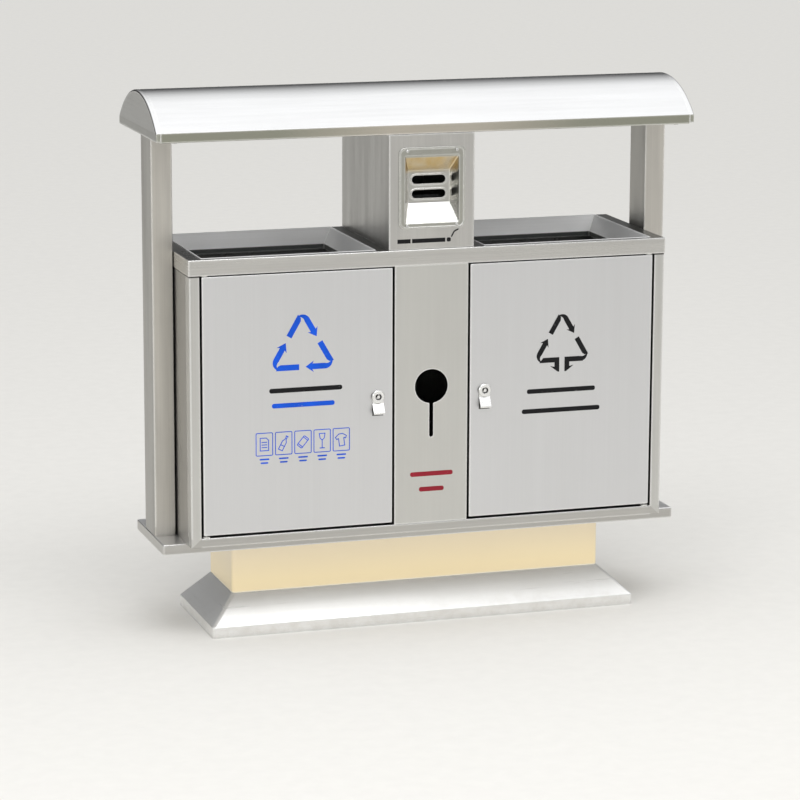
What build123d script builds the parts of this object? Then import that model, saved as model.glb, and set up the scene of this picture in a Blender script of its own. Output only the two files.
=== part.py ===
from build123d import *
import math
import os

# Recycling bin station: a stainless steel cabinet with two waste compartments and a narrow middle one,
# on a pedestal foot, with two posts and a middle column that carry an arched canopy.
# Millimetres, +Z up, +X to the right as seen from the front, +Y to the rear. z = 0 is the ground.
# Inside the functions y is measured from the front plane of the cabinet's top band. write() moves each
# piece so that the object's box is centred on the origin in x and y.
# Pieces that come left and right are modelled on the left, at negative x.

# ---- driving dimensions -------------------------------------------------------------------------
sheet = 1.5                 # folded stainless sheet
door_sheet = 1.2
liner_sheet = 1.0
tube_wall = 2.0
bend = 2.0                  # outer radius of a bend in the sheet
tube_corner = 2.5           # outer corner radius of the posts and the column
over = 1.0                  # how far a cutting tool runs past the face that it cuts
soft = 0.7                  # how much of a low relief's height its edge is rounded over

# cabinet
band_half_width = 475.0
depth = 315.0
cabinet_base = 186.0
deck_top = 736.0
band_height = 30.0
band_hem = 8.0
stile_width = 20.0
stile_depth = 25.0
rail_height = 18.0
floor_lip = 12.0
back_rib_heights = (356.0, 536.0)
back_rib_width = 24.0
back_rib_rise = 2.5

# middle panel and partitions
centre_half_width = 73.5
centre_flange_reach = 94.0
centre_flange_rear = 30.0
partition_flange = 15.0
doorway_height = 188.0
doorway_margin = 20.0
hazard_box_half_width = 66.0
hazard_box_front = 34.0
hazard_box_rear = 296.0
hazard_box_gap = 16.0       # from the box's rim up to the foot of the slit
hole_radius = 33.0
hole_z = 471.0
slit_width = 8.0
slit_bottom = 376.0

# doors
door_outer_edge = 449.5
door_inner_edge = 77.5
door_bottom = 208.5
door_top = 703.5
door_depth = 20.0
door_lip = 12.0
hat_half_width = 22.0
hat_flange = 16.0
hat_end_gap = 4.0
pivot_inset = 6.5           # hinge axis from the door's outer edge and from its front face
pivot_block = 13.0
pin_radius = 3.0
pin_clearance = 0.05
pin_reach = 9.0             # how far a pin passes into its bush
bush_radius = 5.0
bush_flange_radius = 7.0
bush_flange = 2.0
bush_length = 8.0
bracket_width = 19.0
bracket_depth = 18.5
bracket_thickness = 3.0
bracket_height = 18.0
buffer_radius = 5.0
buffer_inset = 80.0
buffer_gap = 0.4

# locks
lock_x = 107.0
lock_z = 457.0
lock_barrel_radius = 9.5
lock_barrel_rear = 29.0
lock_head_radius = 12.5
lock_head_height = 3.5
lock_head_chamfer = 1.2
lock_plug_radius = 7.3
lock_plug_rear = 31.0
keyway_outer_radius = 6.3
keyway_inner_radius = 2.9
keyway_depth = 7.0
lock_nut_radius = 13.0
lock_nut_height = 4.5
cam_length = 30.0
cam_width = 16.0
cam_thickness = 3.0
cam_pin_radius = 3.0
cam_pin_length = 6.0
pull_sheet = 1.6
pull_half_width = 11.0
pull_bend_drop = 14.5       # from the lock's axis down to the tab's bend
pull_drop = 33.0
pull_reach = 10.0           # how far the finger pull stands in front of the cabinet's front plane

# inlet trays in the deck
tray_outer = 448.0
tray_inner = 108.0
tray_front = 12.0
tray_rear = 310.0
tray_inset = 18.0
tray_drop = 29.0
tray_lip = 10.0
tray_rim = 1.2              # how far the tray's rim stands above the deck
tray_wall = 1.8             # level thickness of the sloping sides

# liners
liner_outer = 441.0
liner_inner = 103.0
liner_front = 45.0
liner_rear = 300.0
liner_foot = 8.0
liner_top = 680.0
liner_hem = 12.0
liner_hem_rise = 2.0
hand_hole_width = 110.0
hand_hole_height = 32.0
hand_hole_drop = 45.0

# plinth, pedestal and foot
plinth_half_width = 518.0
plinth_front = 44.0
plinth_rear = 259.0
plinth_bottom = 166.0
plinth_corner = 3.0
pedestal_half_width = 374.0
pedestal_front = 80.0
pedestal_rear = 254.0
pedestal_flange = 30.0
pedestal_corner = 8.0
foot_half_width = 428.0
foot_front = 24.0
foot_rear = 285.0
foot_lip = 21.0
foot_top = 72.0
foot_corner = 5.0
base_plate_thickness = 3.0
anchor_spacing_x = 660.0
anchor_spacing_y = 120.0
anchor_radius = 7.0
bolt_radius = 4.0
bolt_clearance = 0.5
bolt_flats = 13.0
bolt_head = 5.3
bolt_length = 14.0

# posts and canopy
post_inner = 475.5
post_width = 41.0
post_front = 115.0
post_depth = 79.0
canopy_half_width = 532.0
canopy_front = 5.0
canopy_rear = 305.0
canopy_bottom = 954.5
fascia_top = 972.7
canopy_apex = 1037.0
canopy_lip = 12.0
cap_depth = 9.0             # how far an end cap's flange reaches in along the canopy
cap_edge = 4.0              # outer radius of the bend between the cap's face and its flange
cap_rise = 2.5              # from the fascia's lower edge up to the cap's
bearer_width = 30.0
bearer_top = 971.0
bearer_gap = 0.5
rivet_radius = 2.4
rivet_clearance = 0.05
rivet_head_radius = 4.6
rivet_head = 1.3
rivet_tail_radius = 3.4
rivet_tail = 3.0
rivet_inset = 5.0

# column and ash unit
column_half_width = 85.0
column_front = 4.0
column_rear = 311.0
ash_half_width = 66.0
ash_bottom = 775.0
ash_top = 930.0
ash_corner = 13.0
ash_bead_width = 3.5
ash_bead_rise = 1.2
dish_half_width = 53.5
dish_bottom = 785.0
dish_top = 914.5
dish_depth = 21.6
dish_bend = 3.0
dish_gap = 1.5
plate_half_width = 41.6
plate_bottom = 821.6
plate_top = 882.8
ash_slot_length = 67.0
ash_slot_height = 16.0
ash_slot_heights = (838.0, 865.5)
ash_slot_rim = 3.0
ash_screw_x = 49.0
ash_screw_heights = (781.6, 923.4)
ash_screw_radius = 1.6
ash_screw_head_radius = 3.0
ash_screw_head = 1.8
ash_screw_length = 13.0
ash_screw_slot = 0.7
cup_half_width = 50.0
cup_front = 30.0
cup_rear = 120.0
cup_bottom = 752.0
cup_top = 822.0
shelf_front = 26.0
shelf_rear = 124.0
shelf_side = 20.0
shelf_stop = 12.0

# printed signs
film = 0.2
sign_side = 124.0           # side of the triangle that the arrows run round
sign_band = 9.8             # width of the arrows
sign_line = 1.6
left_growth = 1.13          # how much larger the left door's symbol is than the right door's
caption_height = 9.0
pictogram_pitch = 37.8
pictogram_width = 34.0
pictogram_height = 45.0
left_symbol = (-255.0, 558.0)
left_captions = ((143.0, -249.0, 480.0), (123.0, -254.0, 451.0))       # width, x and z
left_pictograms = (-255.0, 378.5)
right_symbol = (265.0, 538.5)
right_captions = ((140.0, 264.0, 448.0), (160.0, 264.0, 409.0))
hazard_captions = ((86.0, 1.0, 300.0), (50.0, 1.0, 270.0))
cigarette = (-6.0, 752.0)
cigarette_length = 92.0
cigarette_thickness = 8.0
filter_length = 26.0
cigarette_gap = 3.0         # between the filter, the paper and the ember

# derived sizes
front_plane = -(depth - pull_reach) / 2
body_half_width = band_half_width - sheet
door_face = sheet
pivot_x = door_outer_edge - pivot_inset
pivot_y = door_face + pivot_inset
band_bottom = deck_top - band_height
under_deck = deck_top - sheet
rail_top = cabinet_base + rail_height
floor_top = cabinet_base + sheet
plinth_under = cabinet_base - tube_wall
post_middle = -post_inner - post_width / 2
bearer_bottom = canopy_bottom + sheet
arch_rise = canopy_apex - fascia_top
arch_half_span = (canopy_rear - canopy_front) / 2
arch_middle = (canopy_rear + canopy_front) / 2
arch_radius = (arch_half_span ** 2 + arch_rise ** 2) / (2 * arch_rise)
pedestal_middle = (pedestal_front + pedestal_rear) / 2
lock_head_seat = door_face - pull_sheet
lock_front = lock_head_seat - lock_head_height
symbol_base = -sign_side / (2 * math.sqrt(3))
sides = (("left", -1), ("right", 1))


# ---- helpers --------------------------------------------------------------------------------------
def block(x0, x1, y0, y1, z0, z1):
    """A box between the given faces."""
    size = Box(abs(x1 - x0), abs(y1 - y0), abs(z1 - z0))
    return Pos((x0 + x1) / 2, (y0 + y1) / 2, (z0 + z1) / 2) * size


def rod(radius, x, y, z0, z1):
    """An upright cylinder from z0 to z1."""
    return Pos(x, y, (z0 + z1) / 2) * Cylinder(radius, z1 - z0)


def pin_y(radius, x, z, y0, y1):
    """A cylinder along y from y0 to y1."""
    return Pos(x, (y0 + y1) / 2, z) * Rot(90, 0, 0) * Cylinder(radius, y1 - y0)


def rounded_edges(solid, axis, radius):
    """The solid with its straight edges along one axis rounded."""
    return fillet(solid.edges().filter_by(axis), radius)


def bent_pan(solid, axis, radius, open_end):
    """A block with the bends of a folded pan: every edge rounded but those of its open face."""
    groups = solid.edges().group_by(axis)
    bends = groups[:2] if open_end == "high" else groups[1:]
    return fillet([edge for group in bends for edge in group], radius)


def frustum(low, z_low, high, z_high, low_corner=0, high_corner=0):
    """A solid between two level rectangles, each given as (x0, x1, y0, y1), with rounded corners."""
    faces = []
    for (x0, x1, y0, y1), z, corner in ((low, z_low, low_corner), (high, z_high, high_corner)):
        outline = RectangleRounded(x1 - x0, y1 - y0, corner) if corner else Rectangle(x1 - x0, y1 - y0)
        faces.append(Pos((x0 + x1) / 2, (y0 + y1) / 2, z) * outline)
    return loft(faces, ruled=True)


def grown(rect, amount):
    """The rectangle (x0, x1, y0, y1) with each side moved out by amount."""
    x0, x1, y0, y1 = rect
    return (x0 - amount, x1 + amount, y0 - amount, y1 + amount)


def front_outline(shape, x, z, y, thickness):
    """A flat shape drawn in x and z, placed with its front face at y and made thick towards the rear."""
    face = Plane.XZ.offset(-y) * Pos(x, z) * shape
    return extrude(face, -thickness)


def on_side(side, shape):
    """The shape as it is for side -1, and its mirror image on the right for side 1."""
    return mirror(shape, Plane.YZ) if side > 0 else shape


def tube(x0, x1, y0, y1, z0, z1, wall, axis, corner):
    """A rectangular tube, open at both ends along the given axis."""
    outer = rounded_edges(block(x0, x1, y0, y1, z0, z1), axis, corner)
    if axis == Axis.Z:
        return outer - block(x0 + wall, x1 - wall, y0 + wall, y1 - wall, z0 - over, z1 + over)
    if axis == Axis.Y:
        return outer - block(x0 + wall, x1 - wall, y0 - over, y1 + over, z0 + wall, z1 - wall)
    return outer - block(x0 - over, x1 + over, y0 + wall, y1 - wall, z0 + wall, z1 - wall)


def write(name, *solids):
    """Write one node, moved from the front-plane measure to the object's own origin."""
    placed = [Pos(0, front_plane, 0) * solid for solid in solids]
    shape = placed[0] if len(placed) == 1 else Compound(children=placed)
    export_step(shape, os.path.join("parts", name + ".step"))


# ---- foot, pedestal and plinth --------------------------------------------------------------------
def foot_rect():
    return (-foot_half_width, foot_half_width, foot_front, foot_rear)


def pedestal_rect():
    return (-pedestal_half_width, pedestal_half_width, pedestal_front, pedestal_rear)


def base_plate():
    """The anchor plate on the ground, inside the foot's skirt, with four anchor holes."""
    plate = block(*grown(foot_rect(), -sheet), 0, base_plate_thickness)
    plate = rounded_edges(plate, Axis.Z, foot_corner)
    for x in (-anchor_spacing_x / 2, anchor_spacing_x / 2):
        for y in (-anchor_spacing_y / 2, anchor_spacing_y / 2):
            plate -= rod(anchor_radius, x, pedestal_middle + y, -over, base_plate_thickness + over)
    return plate


def foot_skirt():
    """An upright lip on the ground, and above it four slopes that rise to the pedestal."""
    low = foot_rect()
    high = pedestal_rect()
    outer = frustum(low, 0, low, foot_lip, foot_corner, foot_corner)
    outer += frustum(low, foot_lip, high, foot_top, foot_corner, pedestal_corner)
    crease = [edge for edge in outer.edges() if abs(edge.center().Z - foot_lip) < sheet / 2]
    outer = fillet(crease, bend)
    low_inner = grown(low, -sheet)
    high_inner = grown(high, -2 * sheet)
    turn = foot_lip - sheet / 2
    corner = foot_corner - sheet
    inner = frustum(low_inner, -over, low_inner, turn, corner, corner)
    inner += frustum(low_inner, turn, high_inner, foot_top + over, corner, pedestal_corner - sheet)
    return outer - inner


def pedestal_bolt_points():
    half_width = pedestal_half_width - pedestal_flange
    half_depth = (pedestal_rear - pedestal_front - pedestal_flange) / 2
    for x in (-half_width, half_width):
        for y in (-half_depth, half_depth):
            yield x, pedestal_middle + y


def bolt_holes(z0, z1):
    """Cutting tools for the clearance holes of the bolts between cabinet and pedestal."""
    radius = bolt_radius + bolt_clearance
    return [rod(radius, x, y, z0 - over, z1 + over) for x, y in pedestal_bolt_points()]


def pedestal_box():
    """Four walls, and a flange turned in along the top that the plinth plate is bolted on."""
    outer = pedestal_rect()
    box = rounded_edges(block(*outer, foot_top, plinth_under), Axis.Z, pedestal_corner)
    hollow = block(*grown(outer, -sheet), foot_top - over, plinth_under - sheet)
    box -= rounded_edges(hollow, Axis.Z, pedestal_corner - sheet)
    box -= block(*grown(outer, -pedestal_flange), plinth_under - 2 * sheet, plinth_under + over)
    return box - bolt_holes(plinth_under - sheet, plinth_under)


def plinth_plate():
    """The folded plate that carries the cabinet and the posts, open underneath."""
    outer = (-plinth_half_width, plinth_half_width, plinth_front, plinth_rear)
    plate = bent_pan(block(*outer, plinth_bottom, cabinet_base), Axis.Z, plinth_corner, "low")
    plate -= block(*grown(outer, -tube_wall), plinth_bottom - over, plinth_under)
    return plate - bolt_holes(plinth_under, cabinet_base)


def plinth_bolts():
    """Hexagon bolts down through the floor pan, the plinth plate and the pedestal's flange."""
    hexagon = RegularPolygon(bolt_flats / 2, 6, major_radius=False)
    bolts = []
    for x, y in pedestal_bolt_points():
        head = extrude(Pos(x, y, floor_top) * hexagon, bolt_head)
        bolts.append(head + rod(bolt_radius, x, y, floor_top - bolt_length, floor_top))
    return bolts


# ---- cabinet --------------------------------------------------------------------------------------
def mitre():
    """The wedge under the sloping cut from the frame's lower corner up to the corner of its opening."""
    outer = -body_half_width
    inner = outer + stile_width
    wedge = Polyline((outer, cabinet_base), (inner, rail_top), (inner + over, rail_top),
                     (inner + over, cabinet_base - over), (outer, cabinet_base - over), close=True)
    return extrude(Plane.XZ.offset(over - door_face) * make_face(wedge), -(stile_depth + 2 * over))


def front_stile():
    """An upright tube of the front frame, mitred at its foot."""
    inner = body_half_width - stile_width
    stile = tube(-body_half_width, -inner, door_face, door_face + stile_depth,
                 cabinet_base, under_deck, sheet, Axis.Z, bend)
    return stile - mitre()


def bottom_rail():
    """The lower tube of the front frame, mitred at both ends, with holes for the lower bushes."""
    half = body_half_width
    rail = tube(-half, half, door_face, door_face + stile_depth,
                cabinet_base, rail_top, sheet, Axis.X, bend)
    left_end = block(-half - over, -half + stile_width, door_face - over, door_face + stile_depth + over,
                     cabinet_base - over, rail_top + over) - mitre()
    for side in (-1, 1):
        rail -= on_side(side, left_end)
    for x in (-pivot_x, pivot_x):
        rail -= rod(bush_radius, x, pivot_y, floor_top + over, rail_top + over)
    return rail


def side_panel():
    front = door_face + stile_depth
    outer = -body_half_width
    panel = block(outer, outer + sheet, front, depth - sheet, cabinet_base, under_deck)
    panel += block(outer, outer + stile_width, front, front + sheet, cabinet_base, under_deck)
    return panel


def back_panel():
    """The rear sheet, with two stiffening ribs behind each waste compartment."""
    half = body_half_width - sheet
    rear = depth - sheet
    panel = block(-half, half, rear - sheet, rear, cabinet_base, under_deck)
    rib_outer = liner_outer
    rib_inner = liner_inner
    for z in back_rib_heights:
        rib = block(-rib_outer, -rib_inner, rear - sheet - back_rib_rise, rear - sheet,
                    z - back_rib_width / 2, z + back_rib_width / 2)
        for side in (-1, 1):
            panel += on_side(side, rib)
    return panel


def floor_pan():
    """The cabinet's floor, with a lip turned up at both ends and at the rear."""
    half = body_half_width - sheet
    front = door_face + stile_depth + sheet
    rear = depth - 2 * sheet
    lip_top = cabinet_base + floor_lip
    pan = block(-half, half, front, rear, cabinet_base, lip_top)
    pan -= block(-half + sheet, half - sheet, front - over, rear - sheet, floor_top, lip_top + over)
    return pan - bolt_holes(cabinet_base, floor_top)


def tray_rect():
    return (-tray_outer, -tray_inner, tray_front, tray_rear)


def top_deck():
    """The top sheet with a band folded down all round it, and a window for each inlet tray."""
    half = band_half_width
    deck = bent_pan(block(-half, half, 0, depth, band_bottom, deck_top), Axis.Z, bend, "low")
    deck -= block(-half + sheet, half - sheet, sheet, depth - sheet, band_bottom - over, under_deck)
    window = block(*tray_rect(), under_deck - over, deck_top + over)
    for side in (-1, 1):
        deck -= on_side(side, window)
    hem_half = body_half_width - 2 * stile_width - sheet
    return deck + block(-hem_half, hem_half, sheet, sheet + band_hem, band_bottom, band_bottom + sheet)


def inlet_tray():
    """Four sides that slope down and in to an upright lip, under a rim that stands on the deck."""
    top = tray_rect()
    low = grown(top, -tray_inset)
    mouth = grown(top, -tray_wall)
    throat = grown(low, -sheet)
    floor_z = deck_top - tray_drop
    rim_top = deck_top + tray_rim
    lip_bottom = floor_z - tray_lip
    outer = frustum(low, floor_z, top, deck_top)
    outer += block(*low, lip_bottom, floor_z)
    outer += block(*top, deck_top, rim_top)
    inner = frustum(throat, floor_z, mouth, deck_top)
    inner += block(*throat, lip_bottom - over, floor_z)
    inner += block(*mouth, deck_top, rim_top + over)
    tray = outer - inner
    rim_edges = tray.edges().group_by(Axis.Z)[-1]
    return fillet(rim_edges, tray_rim / 2)


def centre_panel():
    """The middle front, flush with the doors, with a flange behind each door's edge."""
    half = centre_half_width
    rear = centre_flange_rear
    face_rear = door_face + sheet
    panel = rounded_edges(block(-half, half, door_face, rear, rail_top, band_bottom), Axis.Z, bend)
    panel -= block(-half + sheet, half - sheet, face_rear, rear + over, rail_top - over, band_bottom + over)
    flange = block(-centre_flange_reach, -half + sheet, rear - sheet, rear, door_bottom, door_top)
    for side in (-1, 1):
        panel += on_side(side, flange)
    hole = pin_y(hole_radius, 0, hole_z, door_face - over, face_rear + over)
    hole += block(-slit_width / 2, slit_width / 2, door_face - over, face_rear + over, slit_bottom, hole_z)
    hole += pin_y(slit_width / 2, 0, slit_bottom, door_face - over, face_rear + over)
    return panel - hole


def partition(with_doorway):
    """The wall between a waste compartment and the middle one."""
    outer = -centre_half_width
    front = centre_flange_rear
    rear = depth - 2 * sheet
    sill = cabinet_base + floor_lip
    wall = block(outer, outer + sheet, front, rear - sheet, floor_top, under_deck)
    wall += block(outer, outer + partition_flange, rear - sheet, rear, sill, under_deck)
    if with_doorway:
        wall -= block(outer - over, outer + sheet + over, front + doorway_margin, rear - doorway_margin,
                      sill, sill + doorway_height)
    return wall


def open_box(rect, z0, z1, wall):
    """A box of thin sheet with no lid."""
    return block(*rect, z0, z1) - block(*grown(rect, -wall), z0 + wall, z1 + over)


def hazard_box():
    rect = (-hazard_box_half_width, hazard_box_half_width, hazard_box_front, hazard_box_rear)
    return open_box(rect, floor_top, slit_bottom - hazard_box_gap, liner_sheet)


def liner():
    """A lift-out bin with a raised bottom, a hem round its top, and a hand hole front and rear."""
    rect = (-liner_outer, -liner_inner, liner_front, liner_rear)
    shell = open_box(rect, floor_top + liner_foot, liner_top, liner_sheet)
    skirt = block(*rect, floor_top, floor_top + liner_foot)
    skirt -= block(*grown(rect, -liner_sheet), floor_top - over, floor_top + liner_foot)
    hem_bottom = liner_top - liner_hem
    hem = block(*grown(rect, liner_hem_rise), hem_bottom, liner_top)
    hem -= block(*rect, hem_bottom - over, liner_top + over)
    middle = -(liner_outer + liner_inner) / 2
    slot = SlotOverall(hand_hole_width, hand_hole_height)
    hole_z0 = liner_top - hand_hole_drop
    cut = front_outline(slot, middle, hole_z0, liner_front - over, liner_rear - liner_front + 2 * over)
    return shell + skirt + hem - cut


# ---- doors ----------------------------------------------------------------------------------------
def door():
    """A folded pan with a lip turned in round its rear, holed for the lock and the two pivot pins."""
    y0 = door_face
    y1 = door_face + door_depth
    t = door_sheet
    outer = (-door_outer_edge, -door_inner_edge)
    pan = bent_pan(block(*outer, y0, y1, door_bottom, door_top), Axis.Y, bend, "high")
    pan -= block(outer[0] + t, outer[1] - t, y0 + t, y1 - t, door_bottom + t, door_top - t)
    pan -= block(outer[0] + door_lip, outer[1] - door_lip, y1 - t - over, y1 + over,
                 door_bottom + door_lip, door_top - door_lip)
    pan -= rod(pin_radius, -pivot_x, pivot_y, door_bottom - over, door_bottom + t + over)
    pan -= rod(pin_radius, -pivot_x, pivot_y, door_top - t - over, door_top + over)
    return pan - pin_y(lock_barrel_radius, -lock_x, lock_z, y0 - over, y0 + t + over)


def door_stiffener():
    """A hat section up the middle of the door's inside."""
    middle = -(door_outer_edge + door_inner_edge) / 2
    t = door_sheet
    half = hat_half_width
    y0 = door_face + t
    y1 = door_face + door_depth - 2 * t
    z0 = door_bottom + door_lip + hat_end_gap
    z1 = door_top - door_lip - hat_end_gap
    hat = block(middle - half, middle + half, y0, y1, z0, z1)
    hat -= block(middle - half + t, middle + half - t, y0 - over, y1 - t, z0 - over, z1 + over)
    for edge in (-1, 1):
        hat += block(middle + edge * half, middle + edge * (half + hat_flange), y0, y0 + t, z0, z1)
    return hat


def pivot_pins():
    """A square block in each outer corner of the door, each with its own pin."""
    t = door_sheet
    x0 = -door_outer_edge + t
    y0 = door_face + t
    size = pivot_block
    low = block(x0, x0 + size, y0, y0 + size, door_bottom + t, door_bottom + t + size)
    low += rod(pin_radius, -pivot_x, pivot_y, rail_top - pin_reach + bush_flange, door_bottom + t)
    high = block(x0, x0 + size, y0, y0 + size, door_top - t - size, door_top - t)
    high += rod(pin_radius, -pivot_x, pivot_y, door_top - t, band_bottom + pin_reach - bush_flange)
    return [low, high]


def pivot_bushes():
    """The flanged bushes that one door's pins turn in, one in the rail and one in the top bracket."""
    bore = pin_radius + pin_clearance
    bottom = rail_top - bush_length
    top = band_bottom + bracket_thickness + bush_flange
    low = rod(bush_radius, -pivot_x, pivot_y, bottom, rail_top)
    low += rod(bush_flange_radius, -pivot_x, pivot_y, rail_top, rail_top + bush_flange)
    low -= rod(bore, -pivot_x, pivot_y, bottom - over, rail_top + bush_flange + over)
    high = rod(bush_radius, -pivot_x, pivot_y, band_bottom, top)
    high += rod(bush_flange_radius, -pivot_x, pivot_y, band_bottom - bush_flange, band_bottom)
    high -= rod(bore, -pivot_x, pivot_y, band_bottom - bush_flange - over, top + over)
    return [low, high]


def top_pivot_bracket():
    """An angle on the stile's inner face that holds a door's upper bush."""
    x0 = -body_half_width + stile_width
    rear = door_face + bracket_depth
    upright_bottom = band_bottom + bracket_thickness
    bracket = block(x0, x0 + bracket_width, door_face, rear, band_bottom, upright_bottom)
    bracket += block(x0, x0 + tube_wall, door_face, rear, upright_bottom, band_bottom + bracket_height)
    return bracket - rod(bush_radius, -pivot_x, pivot_y, band_bottom - over, upright_bottom + over)


def door_buffers():
    """The two rubber stops on the middle panel's flange, behind one door's inner edge."""
    x = -(door_inner_edge + centre_flange_reach - bend) / 2
    face = door_face + door_depth + buffer_gap
    heights = (door_bottom + buffer_inset, door_top - buffer_inset)
    return [pin_y(buffer_radius, x, z, face, centre_flange_rear - sheet) for z in heights]


# ---- locks ----------------------------------------------------------------------------------------
def lock_body():
    """The barrel through the door, with its round head."""
    barrel = pin_y(lock_barrel_radius, -lock_x, lock_z, lock_head_seat, lock_barrel_rear)
    head = pin_y(lock_head_radius, -lock_x, lock_z, lock_front, lock_head_seat)
    head = chamfer(head.edges().group_by(Axis.Y)[0], lock_head_chamfer)
    bore = pin_y(lock_plug_radius + pin_clearance, -lock_x, lock_z, lock_front - over, lock_plug_rear)
    return barrel + head - bore


def lock_nut():
    """The hexagon nut on the barrel, behind the door's sheet."""
    face = door_face + door_sheet
    nut = front_outline(RegularPolygon(lock_nut_radius, 6), -lock_x, lock_z, face, lock_nut_height)
    return nut - pin_y(lock_barrel_radius, -lock_x, lock_z, face - over, face + lock_nut_height + over)


def finger_pull():
    """A washer plate under the lock's head with a tab bent forwards to pull the door by."""
    t = pull_sheet
    face = lock_head_seat
    half = pull_half_width
    bend_z = lock_z - pull_bend_drop
    low_z = lock_z - pull_drop
    tip = -pull_reach
    turn = tip + 2 * t
    ring = pin_y(lock_head_radius + over, -lock_x, lock_z, face, door_face)
    flat = block(-lock_x - half, -lock_x + half, face, door_face, bend_z, lock_z)
    side_view = Polyline((face, bend_z + t), (tip, low_z + 2 * t), (tip, low_z), (turn, low_z),
                         (turn, low_z + t), (tip + t, low_z + t), (tip + t, low_z + 2.6 * t),
                         (door_face, bend_z), (door_face, bend_z + t), close=True)
    tab = extrude(Plane.YZ.offset(-lock_x - half) * make_face(side_view), 2 * half)
    outer_bend = [edge for edge in tab.edges().filter_by(Axis.X) if edge.center().Y < tip + t / 2]
    tab = fillet(outer_bend, t / 2)
    return ring + flat + tab - pin_y(lock_barrel_radius, -lock_x, lock_z, face - over, door_face + over)


def lock_plug():
    """The turning core, with a ring-shaped keyway in its face and a square-cut pin for the cam."""
    plug = pin_y(lock_plug_radius, -lock_x, lock_z, lock_front, lock_plug_rear)
    plug += pin_y(cam_pin_radius, -lock_x, lock_z, lock_plug_rear, lock_plug_rear + cam_pin_length)
    keyway = pin_y(keyway_outer_radius, -lock_x, lock_z, lock_front - over, lock_front + keyway_depth)
    keyway -= pin_y(keyway_inner_radius, -lock_x, lock_z, lock_front - over, lock_front + keyway_depth)
    return plug - keyway


def lock_cam():
    """The latch blade on the plug's rear end. It hangs down when the door is free to open."""
    half = cam_width / 2
    y0 = lock_plug_rear
    y1 = lock_plug_rear + cam_thickness
    blade = block(-lock_x - half, -lock_x + half, y0, y1, lock_z - cam_length, lock_z)
    blade += pin_y(half, -lock_x, lock_z, y0, y1)
    return blade - pin_y(cam_pin_radius, -lock_x, lock_z, y0 - over, y1 + over)


# ---- posts and canopy -----------------------------------------------------------------------------
def post():
    return tube(-post_inner - post_width, -post_inner, post_front, post_front + post_depth,
                cabinet_base, bearer_bottom, tube_wall, Axis.Z, tube_corner)


def arch_profile(inset):
    """The canopy's closed end outline in the y-z plane: a low arch on two short upright fascias."""
    half = arch_half_span - inset
    low = canopy_bottom + inset
    top = canopy_apex - inset
    radius = arch_radius - inset
    spring_z = top - radius + math.sqrt(radius ** 2 - half ** 2)
    front = (arch_middle - half, spring_z)
    rear = (arch_middle + half, spring_z)
    sides_and_base = Polyline(front, (arch_middle - half, low), (arch_middle + half, low), rear)
    arch = ThreePointArc(rear, (arch_middle, top), front)
    return make_face([*sides_and_base.edges(), *arch.edges()])


def rivet_rows():
    inset = sheet + rivet_inset
    return (canopy_front + inset, canopy_rear - inset)


def canopy_shell():
    """The arched sheet with its two fascias, each with a lip turned in along the bottom."""
    half = canopy_half_width - cap_depth
    shell = extrude(Plane.YZ.offset(-half) * arch_profile(0), 2 * half)
    shell = fillet(shell.edges().filter_by(Axis.X).group_by(Axis.Z)[0], bend)
    shell -= extrude(Plane.YZ.offset(-half - over) * arch_profile(sheet), 2 * (half + over))
    shell -= block(-half - over, half + over, canopy_front + canopy_lip, canopy_rear - canopy_lip,
                   canopy_bottom - over, bearer_bottom + over)
    for x in (-post_middle, post_middle):
        for y in rivet_rows():
            shell -= rod(rivet_radius + rivet_clearance, x, y, canopy_bottom - over, bearer_bottom + over)
    return shell


def canopy_cap():
    """A pressed end cap: a face with a flange bent inwards round its arch, open along the bottom."""
    outer = -canopy_half_width
    cap = extrude(Plane.YZ.offset(outer) * arch_profile(0), cap_depth)
    rim = [edge for edge in cap.edges().group_by(Axis.X)[0] if edge.center().Z > canopy_bottom + over]
    cap = fillet(rim, cap_edge)
    cap -= extrude(Plane.YZ.offset(outer + sheet) * arch_profile(cap_edge), cap_edge)
    cap -= extrude(Plane.YZ.offset(outer + cap_edge) * arch_profile(sheet), cap_depth)
    return cap - block(outer - over, outer + cap_depth + over, canopy_front - over, canopy_rear + over,
                       canopy_bottom - over, canopy_bottom + cap_rise)


def canopy_bearer():
    """The open channel on top of a post, from fascia to fascia."""
    half = bearer_width / 2
    wall = tube_wall
    z0 = bearer_bottom
    bearer = block(post_middle - half, post_middle + half, canopy_front + sheet, canopy_rear - sheet,
                   z0, bearer_top)
    bearer -= block(post_middle - half + wall, post_middle + half - wall, canopy_front, canopy_rear,
                    z0 + wall, bearer_top + over)
    for y in rivet_rows():
        bearer -= rod(rivet_radius + rivet_clearance, post_middle, y, z0 - over, z0 + wall + over)
    return bearer


def centre_bearer():
    """The tube that stands on the column and carries the canopy's middle."""
    half = bearer_width
    y0 = canopy_front + canopy_lip + bearer_gap
    y1 = canopy_rear - canopy_lip - bearer_gap
    return tube(-half, half, y0, y1, canopy_bottom, bearer_top, tube_wall, Axis.Y, bend)


def canopy_rivets():
    """Blind rivets up through the canopy's lips into the bearers, with low domed heads below."""
    grip_top = bearer_bottom + tube_wall
    rivets = []
    for x in (-post_middle, post_middle):
        for y in rivet_rows():
            head = rod(rivet_head_radius, x, y, canopy_bottom - rivet_head, canopy_bottom)
            head = fillet(head.edges().group_by(Axis.Z)[0], rivet_head * soft)
            shank = rod(rivet_radius, x, y, canopy_bottom, grip_top)
            tail = rod(rivet_tail_radius, x, y, grip_top, grip_top + rivet_tail)
            rivets.append(head + shank + tail)
    return rivets


# ---- column and ash unit --------------------------------------------------------------------------
def ash_screw_points():
    for x in (-ash_screw_x, ash_screw_x):
        for z in ash_screw_heights:
            yield x, z


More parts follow.
